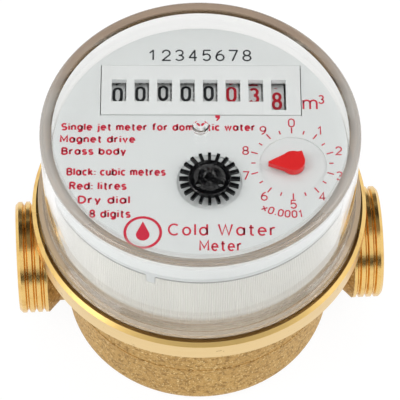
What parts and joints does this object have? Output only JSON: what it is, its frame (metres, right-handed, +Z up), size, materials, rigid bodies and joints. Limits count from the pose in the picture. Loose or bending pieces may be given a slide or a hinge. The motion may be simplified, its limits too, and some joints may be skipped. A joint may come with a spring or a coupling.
{
  "type": "water meter",
  "caption": "Single-jet domestic water meter: cast brass body with threaded ends and a dry register with drums, star and pointer under a clear turning cap.",
  "frame": {"origin": "middle of the foot, on the plane the meter stands on", "axes": "+X along the pipe from inlet to outlet, +Z up through the dial"},
  "size_m": [0.086, 0.0776, 0.0724],
  "materials": {
    "cast_brass": "rough sand-cast brass with machined ends and collar",
    "turned_brass": "turned",
    "blue_plastic": "moulded",
    "white_plastic": "moulded",
    "grey_plastic": "glass-filled, moulded",
    "bridge_plastic": "moulded",
    "gear_plastic": "natural acetal",
    "drum_plastic": "moulded and printed",
    "dial_white": "printed",
    "frame_white": "moulded",
    "black_plastic": "glossy moulded",
    "red_plastic": "moulded",
    "clear_plastic": "clear moulded",
    "steel": "ground",
    "soft_iron": "plain",
    "ferrite": "sintered",
    "jewel": "polished",
    "seal_rubber": "matte"
  },
  "bodies": {
    "meter_body": {"body": "cast_brass", "inlet_strainer": "blue_plastic", "lower_pivot": "steel", "upper_pivot": "steel", "pressure_plate": "grey_plastic", "plate_seal": "seal_rubber", "retaining_ring": "turned_brass", "magnet_shield": "soft_iron"},
    "rotor": {"impeller": "white_plastic", "impeller_bush": "jewel", "drive_magnet": "ferrite"},
    "register": {"cap": "clear_plastic", "register_housing": "white_plastic", "train_bridge": "bridge_plastic", "dial_plate": "dial_white", "counter_frame": "frame_white", "drum_axle": "steel", "pinion_axle": "steel"},
    "follower": {"follower_shaft": "gear_plastic", "follower_magnet": "ferrite"},
    "star": {"star_shaft": "gear_plastic", "star_indicator": "black_plastic"},
    "idler": {"idler": "gear_plastic"},
    "pointer": {"pointer_shaft": "gear_plastic", "pointer": "red_plastic"},
    "worm": {"worm_shaft": "gear_plastic", "worm": "turned_brass"},
    "drum_1": {"drum_1": "drum_plastic"},
    "drum_2": {"drum_2": "drum_plastic"},
    "drum_3": {"drum_3": "drum_plastic"},
    "drum_4": {"drum_4": "drum_plastic"},
    "drum_5": {"drum_5": "drum_plastic"},
    "drum_6": {"drum_6": "drum_plastic"},
    "drum_7": {"drum_7": "drum_plastic"},
    "drum_8": {"drum_8": "drum_plastic"},
    "pinion_1": {"pinion_1": "gear_plastic"},
    "pinion_2": {"pinion_2": "gear_plastic"},
    "pinion_3": {"pinion_3": "gear_plastic"},
    "pinion_4": {"pinion_4": "gear_plastic"},
    "pinion_5": {"pinion_5": "gear_plastic"},
    "pinion_6": {"pinion_6": "gear_plastic"},
    "pinion_7": {"pinion_7": "gear_plastic"}
  },
  "joints": [
    {"name": "register_turn", "type": "hinge", "parent": "meter_body", "child": "register", "pos_m": [0, 0, 0.0409], "axis": [0, 0, 1], "range_deg": [-177.5, 177.5]},
    {"name": "impeller_spin", "type": "hinge", "parent": "meter_body", "child": "rotor", "pos_m": [0, 0, 0.02], "axis": [0, 0, 1], "continuous": true},
    {"name": "follower_spin", "type": "hinge", "parent": "register", "child": "follower", "pos_m": [0, 0, 0.045], "axis": [0, 0, 1], "continuous": true},
    {"name": "star_spin", "type": "hinge", "parent": "register", "child": "star", "pos_m": [0.00149, -0.00975, 0.045], "axis": [0, 0, 1], "continuous": true},
    {"name": "idler_spin", "type": "hinge", "parent": "register", "child": "idler", "pos_m": [0.01108, -0.01016, 0.048], "axis": [0, 0, 1], "continuous": true},
    {"name": "pointer_spin", "type": "hinge", "parent": "register", "child": "pointer", "pos_m": [0.02048, -0.00619, 0.051], "axis": [0, 0, 1], "continuous": true},
    {"name": "worm_spin", "type": "hinge", "parent": "register", "child": "worm", "pos_m": [0.02139, 0.00523, 0.052], "axis": [0, 0, 1], "continuous": true},
    {"name": "drum_8_spin", "type": "hinge", "parent": "register", "child": "drum_8", "pos_m": [0.0186, 0.01425, 0.052], "axis": [-0.9983, 0.0576, 0], "continuous": true},
    {"name": "drum_7_spin", "type": "hinge", "parent": "register", "child": "drum_7", "pos_m": [0.01341, 0.01455, 0.052], "axis": [-0.9983, 0.0576, 0], "continuous": true},
    {"name": "drum_6_spin", "type": "hinge", "parent": "register", "child": "drum_6", "pos_m": [0.00822, 0.01485, 0.052], "axis": [-0.9983, 0.0576, 0], "continuous": true},
    {"name": "drum_5_spin", "type": "hinge", "parent": "register", "child": "drum_5", "pos_m": [0.00303, 0.01515, 0.052], "axis": [-0.9983, 0.0576, 0], "continuous": true},
    {"name": "drum_4_spin", "type": "hinge", "parent": "register", "child": "drum_4", "pos_m": [-0.00216, 0.01545, 0.052], "axis": [-0.9983, 0.0576, 0], "continuous": true},
    {"name": "drum_3_spin", "type": "hinge", "parent": "register", "child": "drum_3", "pos_m": [-0.00736, 0.01575, 0.052], "axis": [-0.9983, 0.0576, 0], "continuous": true},
    {"name": "drum_2_spin", "type": "hinge", "parent": "register", "child": "drum_2", "pos_m": [-0.01255, 0.01605, 0.052], "axis": [-0.9983, 0.0576, 0], "continuous": true},
    {"name": "drum_1_spin", "type": "hinge", "parent": "register", "child": "drum_1", "pos_m": [-0.01774, 0.01635, 0.052], "axis": [-0.9983, 0.0576, 0], "continuous": true},
    {"name": "pinion_7_spin", "type": "hinge", "parent": "register", "child": "pinion_7", "pos_m": [0.01484, 0.00381, 0.052], "axis": [-0.9983, 0.0576, 0], "continuous": true},
    {"name": "pinion_6_spin", "type": "hinge", "parent": "register", "child": "pinion_6", "pos_m": [0.00965, 0.00411, 0.052], "axis": [-0.9983, 0.0576, 0], "continuous": true},
    {"name": "pinion_5_spin", "type": "hinge", "parent": "register", "child": "pinion_5", "pos_m": [0.00446, 0.00441, 0.052], "axis": [-0.9983, 0.0576, 0], "continuous": true},
    {"name": "pinion_4_spin", "type": "hinge", "parent": "register", "child": "pinion_4", "pos_m": [-0.00073, 0.00471, 0.052], "axis": [-0.9983, 0.0576, 0], "continuous": true},
    {"name": "pinion_3_spin", "type": "hinge", "parent": "register", "child": "pinion_3", "pos_m": [-0.00592, 0.00501, 0.052], "axis": [-0.9983, 0.0576, 0], "continuous": true},
    {"name": "pinion_2_spin", "type": "hinge", "parent": "register", "child": "pinion_2", "pos_m": [-0.01111, 0.00531, 0.052], "axis": [-0.9983, 0.0576, 0], "continuous": true},
    {"name": "pinion_1_spin", "type": "hinge", "parent": "register", "child": "pinion_1", "pos_m": [-0.0163, 0.00561, 0.052], "axis": [-0.9983, 0.0576, 0], "continuous": true}
  ],
  "couplings": [
    {"joint": "follower_spin", "follows": "impeller_spin", "ratio": 1},
    {"joint": "star_spin", "follows": "impeller_spin", "ratio": -0.41667},
    {"joint": "idler_spin", "follows": "impeller_spin", "ratio": 0.13889},
    {"joint": "pointer_spin", "follows": "impeller_spin", "ratio": -0.042735},
    {"joint": "worm_spin", "follows": "impeller_spin", "ratio": 0.08547},
    {"joint": "drum_8_spin", "follows": "impeller_spin", "ratio": 0.0042735},
    {"joint": "drum_7_spin", "follows": "impeller_spin", "ratio": 0.00042735},
    {"joint": "drum_6_spin", "follows": "impeller_spin", "ratio": 0.000042735},
    {"joint": "drum_5_spin", "follows": "impeller_spin", "ratio": 0.0000042735},
    {"joint": "drum_4_spin", "follows": "impeller_spin", "ratio": 0.00000042735},
    {"joint": "drum_3_spin", "follows": "impeller_spin", "ratio": 0.000000042735},
    {"joint": "drum_2_spin", "follows": "impeller_spin", "ratio": 0.0000000042735},
    {"joint": "drum_1_spin", "follows": "impeller_spin", "ratio": 0.00000000042735},
    {"joint": "pinion_7_spin", "follows": "impeller_spin", "ratio": -0.0010684},
    {"joint": "pinion_6_spin", "follows": "impeller_spin", "ratio": -0.00010684},
    {"joint": "pinion_5_spin", "follows": "impeller_spin", "ratio": -0.000010684},
    {"joint": "pinion_4_spin", "follows": "impeller_spin", "ratio": -0.0000010684},
    {"joint": "pinion_3_spin", "follows": "impeller_spin", "ratio": -0.00000010684},
    {"joint": "pinion_2_spin", "follows": "impeller_spin", "ratio": -0.000000010684},
    {"joint": "pinion_1_spin", "follows": "impeller_spin", "ratio": -0.0000000010684}
  ]
}
